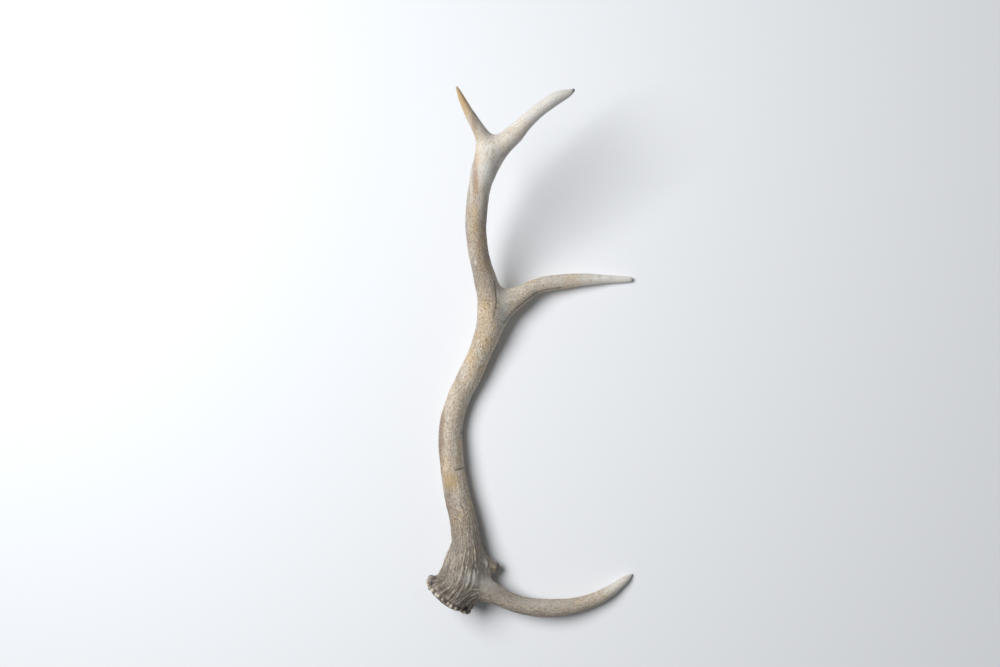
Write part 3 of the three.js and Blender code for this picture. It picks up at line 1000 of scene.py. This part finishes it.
def lower_beam_shell():
    """Seal, burr, foot and the beam up to the middle fork, open to the brow tine on the right."""
    up = beam.direction(brow_share)
    normals = (brow_fork.normal, brow_fork.normal)
    burr_start = {"origin": foot, "direction": burr_axis, "right": 0, "left": 0}
    foot_end = brow_fork.leave(-up, (BACK, BELOW))
    foot_rows = Rows(beam, (0, brow_share), even(FOOT_ROWS), burr_start, foot_end, normals)
    outs = FLANGE[0] * (1 - even(SEAL_ROWS)[:-1])
    under, pole = foot_rows.round_end(0, -np.degrees(np.arctan2(SEAL_DEPTH, outs)))
    foot_grid = relax(np.concatenate([under[::-1], foot_rows.rings()]), 12)
    beam_start = brow_fork.leave(up, (BACK, CROTCH))
    beam_end = middle_fork.leave(-beam.direction(middle_share), (BACK, BELOW))
    span = (brow_share, middle_share)
    normals = (brow_fork.normal, middle_fork.normal)
    beam_rows = Rows(beam, span, even(BEAM_ROWS), beam_start, beam_end, normals)
    beam_grid = beam_rows.rings()
    relax(beam_grid[:KNOB_ROWS], 14)
    shell = Shell()
    seat, end = shell.add_points([brow_fork.centre, middle_fork.centre])
    foot_rings = shell.add_points(foot_grid)
    beam_rings = shell.add_points(beam_grid)
    beam_rings[0, HALF:] = foot_rings[-1, HALF:]
    beam_rings[0, 0] = foot_rings[-1, 0]
    shell.add_fan(shell.add_points(pole), closed(foot_rings[0]), False)
    shell.add_bands(foot_rings)
    shell.add_fan(seat, half_ring(foot_rings[-1]), True, wall=True)
    shell.add_fan(seat, half_ring(beam_rings[0]), False, wall=True)
    shell.add_bands(beam_rings)
    shell.add_fan(end, closed(beam_rings[-1]), True, wall=True)
    return shell


def upper_beam_shell():
    """The beam between the middle fork and the top fork."""
    start = middle_fork.leave(beam.direction(middle_share), (BACK, CROTCH))
    end = top_fork.leave(-beam.direction(1), (BACK, BELOW))
    normals = (middle_fork.normal, top_fork.normal)
    rows = Rows(beam, (middle_share, 1), even(UPPER_ROWS), start, end, normals)
    shell = Shell()
    first, last = shell.add_points([middle_fork.centre, top_fork.centre])
    rings = shell.add_points(relax(rows.rings(), 3))
    shell.add_fan(first, closed(rings[0]), False, wall=True)
    shell.add_bands(rings)
    shell.add_fan(last, closed(rings[-1]), True, wall=True)
    return shell


def tine_shell(limb, fork, walls, row_count):
    """A tine from the walls of its fork to its rounded tip."""
    start = fork.leave(limb.direction(0), walls)
    rows = Rows(limb, (0, 1), closing(row_count), start, None, (fork.normal, fork.normal))
    tip_rings, tip = rows.round_end(-1, TIP_RISES)
    shell = Shell()
    first = shell.add_points(fork.centre)
    rings = shell.add_points(np.concatenate([relax(rows.rings(), 3), tip_rings]))
    shell.add_fan(first, closed(rings[0]), False, wall=True)
    shell.add_bands(rings)
    shell.add_fan(shell.add_points(tip), closed(rings[-1]), True)
    return shell


# ---------------------------------------------------------------------------------------------------------
# Finishes
# ---------------------------------------------------------------------------------------------------------


class Tree:
    """Short ways to add nodes to a material and link them."""

    def __init__(self, material):
        material.use_nodes = True
        self.tree = material.node_tree
        self.tree.nodes.clear()

    def node(self, kind, inputs=(), **settings):
        """A node of a kind, with its settings, and each input linked or set to a plain value."""
        node = self.tree.nodes.new(kind)
        for name, value in settings.items():
            setattr(node, name, value)
        for name, value in dict(inputs).items():
            if isinstance(value, bpy.types.NodeSocket):
                self.tree.links.new(value, node.inputs[name])
            else:
                node.inputs[name].default_value = value
        return node

    def mark(self, name, output="Fac"):
        """One of the piece's marks."""
        return self.node("ShaderNodeAttribute", attribute_name=name).outputs[output]

    def math(self, operation, *values):
        """The result of one operation on plain values or other results."""
        return self.node("ShaderNodeMath", enumerate(values), operation=operation).outputs[0]

    def stretch(self, vector, scale):
        """A vector scaled along its three axes."""
        return self.node("ShaderNodeVectorMath", ((0, vector), (1, scale)), operation="MULTIPLY").outputs[0]

    def noise(self, vector, scale, detail=3.0, roughness=0.55):
        """Noise from 0 to 1, about a half."""
        inputs = {"Vector": vector, "Scale": scale, "Detail": detail, "Roughness": roughness}
        return self.node("ShaderNodeTexNoise", inputs).outputs["Fac"]

    def between(self, value, low, high, to_low=0.0, to_high=1.0):
        """A value's place between low and high, with soft ends."""
        inputs = {"Value": value, "From Min": low, "From Max": high, "To Min": to_low, "To Max": to_high}
        return self.node("ShaderNodeMapRange", inputs, interpolation_type="SMOOTHSTEP").outputs["Result"]

    def ramp(self, value, stops):
        """Colours at places from 0 to 1."""
        node = self.node("ShaderNodeValToRGB", {"Fac": value})
        elements = node.color_ramp.elements
        while len(elements) < len(stops):
            elements.new(0.5)
        for element, (place, colour) in zip(elements, stops):
            element.position = place
            element.color = (*colour, 1)
        return node.outputs["Color"]

    def blend(self, share, under, over, kind="MIX"):
        """One colour over another by a share."""
        node = self.node("ShaderNodeMix", data_type="RGBA", blend_type=kind)
        for socket, value in zip((node.inputs[0], node.inputs[6], node.inputs[7]), (share, under, over)):
            if isinstance(value, bpy.types.NodeSocket):
                self.tree.links.new(value, socket)
            else:
                socket.default_value = value if isinstance(value, float) else (*value, 1)
        return node.outputs[2]


# How strong the dark speckle of darker bone is, and how much glossier paler bone gets in each finish.
SPECKLE = 0.78
FINISHES = {
    "grooved_bone": 0.12,
    "beam_bone": 0.14,
    "pale_bone": 0.16,
    "ochre_bone": 0.2,
}


def bone(name, colours, gloss):
    """Dry bone. A ramp from grey-brown to bleached follows how pale the place is, ruffled by noise at four
    sizes along the grain; over it lie warm and cool patches, stains with some painted shade among them, dark
    grit and light flakes, speckle, pits, dirt in the gutters with painted shade in the crease, under the
    middle tine and in the burr's pit, and worn light tops."""
    material = bpy.data.materials.new(name)
    tree = Tree(material)
    place = tree.node("ShaderNodeTexCoord").outputs["Object"]
    grain = tree.mark("grain", "Vector")
    pale = tree.mark("pale")
    gutter = tree.mark("gutter")
    broad = tree.noise(place, 60.0, 4.0)
    patch = tree.noise(grain, 0.3, 5.0, 0.62)
    fibre = tree.noise(tree.stretch(grain, (1.0, 1.0, 0.45)), 1.3, 3.0, 0.6)
    tone = tree.math("MULTIPLY_ADD", tree.math("SUBTRACT", broad, 0.5), 0.35, pale)
    tone = tree.math("MULTIPLY_ADD", tree.math("SUBTRACT", patch, 0.5), 0.42, tone)
    tone = tree.math("MULTIPLY_ADD", tree.math("SUBTRACT", fibre, 0.5), 0.3, tone)
    mottle = tree.noise(tree.stretch(grain, (1.0, 1.0, 2.2)), 0.5, 3.0, 0.7)
    tone = tree.math("MULTIPLY_ADD", tree.math("SUBTRACT", mottle, 0.5), 1.7, tone)
    colour = tree.ramp(tone, (
        (0.0, colours.raw),
        (0.3, colours.weathered),
        (0.55, colours.warm),
        (0.8, colours.cream),
        (1.0, colours.bleached),
    ))
    warm = tree.between(tree.noise(place, 34.0, 3.0), 0.42, 0.66)
    warm = tree.math("MULTIPLY", warm, tree.between(pale, 0.42, 0.6, 0.15, 0.75))
    warm = tree.math("MULTIPLY", warm, tree.between(pale, 0.75, 1.0, 1.0, 0.4))
    colour = tree.blend(warm, colour, (1.0, 0.84, 0.64), "MULTIPLY")
    cool = tree.between(tree.noise(tree.stretch(place, (1.0, 0.6, 1.0)), 47.0, 4.0), 0.52, 0.7)
    cool = tree.math("MULTIPLY", cool, tree.between(pale, 0.65, 0.9, 0.45, 0.1))
    colour = tree.blend(cool, colour, colours.weathered)
    # The umber and rust stains also carry painted shade.
    for kind in ("ash", "ochre", "umber_and_shade", "rust_and_shade", "chalk"):
        edge = tree.between(tree.noise(grain, 0.55, 4.0, 0.65), 0.3, 0.6, 0.55, 1.0)
        share = tree.math("MULTIPLY", tree.mark(kind), edge)
        colour = tree.blend(share, colour, getattr(colours, kind))
    grit = tree.math("MULTIPLY", tree.between(mottle, 0.48, 0.36), tree.between(pale, 0.7, 1.0, 0.5, 0.2))
    colour = tree.blend(grit, colour, (0.62, 0.58, 0.55), "MULTIPLY")
    flake = tree.math("MULTIPLY", tree.between(mottle, 0.54, 0.66), 0.4)
    colour = tree.blend(flake, colour, colours.cream)
    keep = tree.between(pale, 0.7, 1.0, SPECKLE, SPECKLE * 0.35)
    spots = tree.between(tree.noise(tree.stretch(grain, (1.0, 1.0, 2.0)), 0.5, 4.0, 0.66), 0.54, 0.7)
    colour = tree.blend(tree.math("MULTIPLY", spots, keep), colour, colours.dirt_and_shade)
    pits = tree.node("ShaderNodeTexVoronoi", {"Vector": grain, "Scale": 0.42})
    pit = tree.between(pits.outputs["Distance"], 0.22, 0.1)
    chosen = tree.between(tree.noise(grain, 0.16, 2.0), 0.5, 0.62)
    pit = tree.math("MULTIPLY", tree.math("MULTIPLY", pit, chosen), tree.math("MULTIPLY", keep, 0.6))
    colour = tree.blend(pit, colour, colours.dirt_and_shade)
    # Dirt in the gutters, and painted shade in the crease, under the middle tine and in the burr's pit.
    grime_and_shade = tree.math("MULTIPLY", tree.math("POWER", gutter, 0.75), 0.95)
    colour = tree.blend(grime_and_shade, colour, colours.dirt_and_shade)
    # Dark marks at broken tips, and painted shade in the burr's pit.
    colour = tree.blend(tree.mark("soot_and_shade"), colour, colours.soot_and_shade)
    colour = tree.blend(tree.math("MULTIPLY", tree.mark("fleck"), 0.85), colour, colours.cream)
    rough = tree.math("MULTIPLY_ADD", pale, -gloss, 0.72)
    rough = tree.math("MULTIPLY_ADD", tree.math("SUBTRACT", patch, 0.5), 0.25, rough)
    height = tree.math("MULTIPLY_ADD", spots, -0.5, fibre)
    height = tree.math("MULTIPLY_ADD", pit, -0.8, height)
    height = tree.math("MULTIPLY_ADD", tree.noise(grain, 2.6, 2.0), 0.5, height)
    bump = tree.node("ShaderNodeBump", {"Height": height, "Strength": 0.5, "Distance": 0.0005})
    shader = tree.node("ShaderNodeBsdfPrincipled", {
        "Base Color": colour,
        "Roughness": rough,
        "Specular IOR Level": 0.35,
        "Normal": bump.outputs["Normal"],
    })
    output = tree.node("ShaderNodeOutputMaterial", {"Surface": shader.outputs[0]})
    output.is_active_output = True
    return material


def finish(slot, colours):
    """The material of one of the slots, made the first time it is asked for."""
    name = "dry_" + slot
    return bpy.data.materials.get(name) or bone(name, colours, FINISHES[slot])


# ---------------------------------------------------------------------------------------------------------
# Settings
# ---------------------------------------------------------------------------------------------------------


def colour_setting(name, description, default):
    """A colour that a user may change."""
    return bpy.props.FloatVectorProperty(
        name=name, description=description, default=default, subtype="COLOR", size=3, min=0, max=1,
    )


class AntlerShape(bpy.types.PropertyGroup):
    """Sizes of the antler's relief."""

    gutter_depth: bpy.props.FloatProperty(
        name="Gutter depth", description="Depth of the gutters next to the burr",
        default=0.0016, min=0, max=0.003, unit="LENGTH",
    )


class AntlerColours(bpy.types.PropertyGroup):
    """Colours of the bone, of what has stained it, and of the painted shade."""

    raw: colour_setting("Raw bone", "The darkest bone, next to the burr", (0.33, 0.305, 0.275))
    weathered: colour_setting("Weathered bone", "Grey bone of the lower beam", (0.43, 0.39, 0.345))
    warm: colour_setting("Warm bone", "Beige bone of the beam", (0.54, 0.465, 0.375))
    cream: colour_setting("Cream bone", "Light bone of the forks and worn tops", (0.74, 0.66, 0.54))
    bleached: colour_setting("Bleached bone", "Bone of the whitest tips", (0.81, 0.79, 0.75))
    chalk: colour_setting("Chalk", "The brightest worn spots", (0.92, 0.90, 0.86))
    ash: colour_setting("Ash", "Cool grey bloom of weathered webs", (0.52, 0.50, 0.465))
    ochre: colour_setting("Ochre", "Yellow-brown stain", (0.70, 0.49, 0.25))
    # Umber also paints shade on the beam's right side and under the tines.
    umber_and_shade: colour_setting("Umber", "Brown stain along the sides of the beam", (0.27, 0.23, 0.195))
    # Rust also paints shade beside the middle fork's crease.
    rust_and_shade: colour_setting("Rust", "Reddish stain", (0.46, 0.27, 0.18))
    # Dirt also paints shade in the crease, under the middle tine and in the burr's pit.
    dirt_and_shade: colour_setting("Dirt", "What fills the gutters and pits", (0.085, 0.068, 0.052))
    # Soot also paints shade in the burr's pit under the brow tine.
    soot_and_shade: colour_setting("Soot", "The darkest marks, at broken tips", (0.05, 0.045, 0.045))


class AntlerStage(bpy.types.PropertyGroup):
    """The floor and the light."""

    floor_colour: colour_setting("Floor", "Colour of the pale floor", (0.84, 0.86, 0.89))
    sky_colour: colour_setting("Sky", "Colour of the light from all round", (0.95, 0.97, 1.0))
    sky_strength: bpy.props.FloatProperty(
        name="Sky strength", description="Strength of the light from all round", default=0.15, min=0,
    )
    lamp_power: bpy.props.FloatProperty(
        name="Lamp power", description="Power of the big soft lamp, in watts", default=55.0, min=0,
    )


# ---------------------------------------------------------------------------------------------------------
# Operators
# ---------------------------------------------------------------------------------------------------------

FIT = 0.006


def place_piece(shell, node, slot, scene):
    """Builds a piece in place of its node, gives it its finish and lets it ride on the antler's one body.
    A piece that isn't where its node is stops the script."""
    piece = shell.build(node + "_bone", scene.antler_shape)
    piece.data.materials.append(finish(slot, scene.antler_colours))
    corners = np.array([corner[:] for corner in piece.bound_box])
    low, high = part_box(node)
    if np.abs(corners.min(0) - low).max() > FIT or np.abs(corners.max(0) - high).max() > FIT:
        raise RuntimeError(f"{piece.name} isn't where {node} is")
    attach(piece, "root")
    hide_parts(node)


class ANTLER_OT_lower_beam(bpy.types.Operator):
    """Adds the seal, the burr and the beam up to the middle fork"""

    bl_idname = "antler.lower_beam"
    bl_label = "Lower beam"

    def execute(self, context):
        place_piece(lower_beam_shell(), "beam_lower", "grooved_bone", context.scene)
        return {"FINISHED"}


class ANTLER_OT_upper_beam(bpy.types.Operator):
    """Adds the beam between the middle fork and the top fork"""

    bl_idname = "antler.upper_beam"
    bl_label = "Upper beam"

    def execute(self, context):
        place_piece(upper_beam_shell(), "beam_upper", "beam_bone", context.scene)
        return {"FINISHED"}


class ANTLER_OT_brow_tine(bpy.types.Operator):
    """Adds the long tine that leaves the beam at the burr"""

    bl_idname = "antler.brow_tine"
    bl_label = "Brow tine"

    def execute(self, context):
        shell = tine_shell(brow_tine, brow_fork, (CROTCH, BELOW), 190)
        place_piece(shell, "brow_tine", "grooved_bone", context.scene)
        return {"FINISHED"}


class ANTLER_OT_middle_tine(bpy.types.Operator):
    """Adds the tine half way up the beam, with its worn white tip"""

    bl_idname = "antler.middle_tine"
    bl_label = "Middle tine"

    def execute(self, context):
        shell = tine_shell(middle_tine, middle_fork, (CROTCH, BELOW), 165)
        place_piece(shell, "middle_tine", "pale_bone", context.scene)
        return {"FINISHED"}


class ANTLER_OT_top_tines(bpy.types.Operator):
    """Adds the two tines of the top fork: the ochre one behind and the bleached one in front"""

    bl_idname = "antler.top_tines"
    bl_label = "Top tines"

    def execute(self, context):
        rear = tine_shell(rear_top_tine, top_fork, (BACK, CROTCH), 90)
        place_piece(rear, "rear_top_tine", "ochre_bone", context.scene)
        front = tine_shell(front_top_tine, top_fork, (CROTCH, BELOW), 115)
        place_piece(front, "front_top_tine", "pale_bone", context.scene)
        return {"FINISHED"}


# The camera looks straight down on the plan, in millimetres, with this lens on a 36 mm sensor. The lamp
# stands this way from the middle of the antler, that far off.
AIM = (60, 300, 40)
LAMP_WAY = (-0.88, 0.4, 1.0)
LAMP_DISTANCE = 2200
LAMP_SIZE = 1.7
FLOOR_HALF = 4


class ANTLER_OT_stage(bpy.types.Operator):
    """Adds the pale floor, the soft lamp, the light from all round and the camera"""

    bl_idname = "antler.stage"
    bl_label = "Stage"

    def execute(self, context):
        scene = context.scene
        settings = scene.antler_stage
        turn = Matrix(TURN_TO_REST.tolist())
        self.add_floor(scene, settings)
        camera = bpy.data.objects.new("camera", bpy.data.cameras.new("camera"))
        camera.data.lens = LENS
        camera.data.sensor_width = SENSOR
        place = Vector(to_frame(np.array(CAMERA_PLACE, float)))
        camera.matrix_world = Matrix.Translation(place) @ turn.to_4x4()
        scene.collection.objects.link(camera)
        scene.camera = camera
        lamp = bpy.data.objects.new("lamp", bpy.data.lights.new("lamp", "AREA"))
        lamp.data.shape = "DISK"
        lamp.data.size = LAMP_SIZE
        lamp.data.energy = settings.lamp_power
        way = unit(LAMP_WAY)
        lamp.location = Vector(to_frame(np.array(AIM, float) + way * LAMP_DISTANCE))
        lamp.rotation_euler = (turn @ Vector(way)).to_track_quat("Z", "Y").to_euler()
        scene.collection.objects.link(lamp)
        scene.world = bpy.data.worlds.new("sky")
        scene.world.use_nodes = True
        sky = scene.world.node_tree.nodes["Background"]
        sky.inputs["Color"].default_value = (*settings.sky_colour, 1)
        sky.inputs["Strength"].default_value = settings.sky_strength
        scene.view_settings.view_transform = "Standard"
        return {"FINISHED"}

    def add_floor(self, scene, settings):
        """A wide pale plane under the antler."""
        mesh = bpy.data.meshes.new("floor")
        corners = [(-1, -1), (1, -1), (1, 1), (-1, 1)]
        corners = [(x * FLOOR_HALF, y * FLOOR_HALF, 0) for x, y in corners]
        mesh.from_pydata(corners, [], [(0, 1, 2, 3)])
        floor = bpy.data.objects.new("floor", mesh)
        scene.collection.objects.link(floor)
        material = bpy.data.materials.new("floor")
        tree = Tree(material)
        shader = tree.node("ShaderNodeBsdfPrincipled", {
            "Base Color": (*settings.floor_colour, 1),
            "Roughness": 0.9,
            "Specular IOR Level": 0.2,
        })
        tree.node("ShaderNodeOutputMaterial", {"Surface": shader.outputs[0]})
        mesh.materials.append(material)


class ANTLER_PT_panel(bpy.types.Panel):
    """The antler's settings and the buttons that build it"""

    bl_idname = "ANTLER_PT_panel"
    bl_label = "Deer antler"
    bl_space_type = "VIEW_3D"
    bl_region_type = "UI"
    bl_category = "Antler"

    def draw(self, context):
        scene = context.scene
        for group in (scene.antler_shape, scene.antler_colours, scene.antler_stage):
            box = self.layout.box()
            for name in group.__annotations__:
                box.prop(group, name)
        for operator in OPERATORS:
            self.layout.operator(operator.bl_idname)


GROUPS = {"antler_shape": AntlerShape, "antler_colours": AntlerColours, "antler_stage": AntlerStage}
OPERATORS = (
    ANTLER_OT_stage, ANTLER_OT_lower_beam, ANTLER_OT_upper_beam, ANTLER_OT_brow_tine, ANTLER_OT_middle_tine,
    ANTLER_OT_top_tines,
)


def register():
    """Registers the settings, the operators and the panel."""
    for cls in (*GROUPS.values(), *OPERATORS, ANTLER_PT_panel):
        bpy.utils.register_class(cls)
    for name, group in GROUPS.items():
        setattr(bpy.types.Scene, name, bpy.props.PointerProperty(type=group))


def unregister():
    """Takes the settings, the operators and the panel out again."""
    for name in GROUPS:
        delattr(bpy.types.Scene, name)
    for cls in (ANTLER_PT_panel, *reversed(OPERATORS), *reversed(GROUPS.values())):
        bpy.utils.unregister_class(cls)


def main():
    """Builds the whole antler on its stage."""
    register()
    bpy.ops.antler.stage()
    bpy.ops.antler.lower_beam()
    bpy.ops.antler.upper_beam()
    bpy.ops.antler.brow_tine()
    bpy.ops.antler.middle_tine()
    bpy.ops.antler.top_tines()


if __name__ == "__main__":
    main()
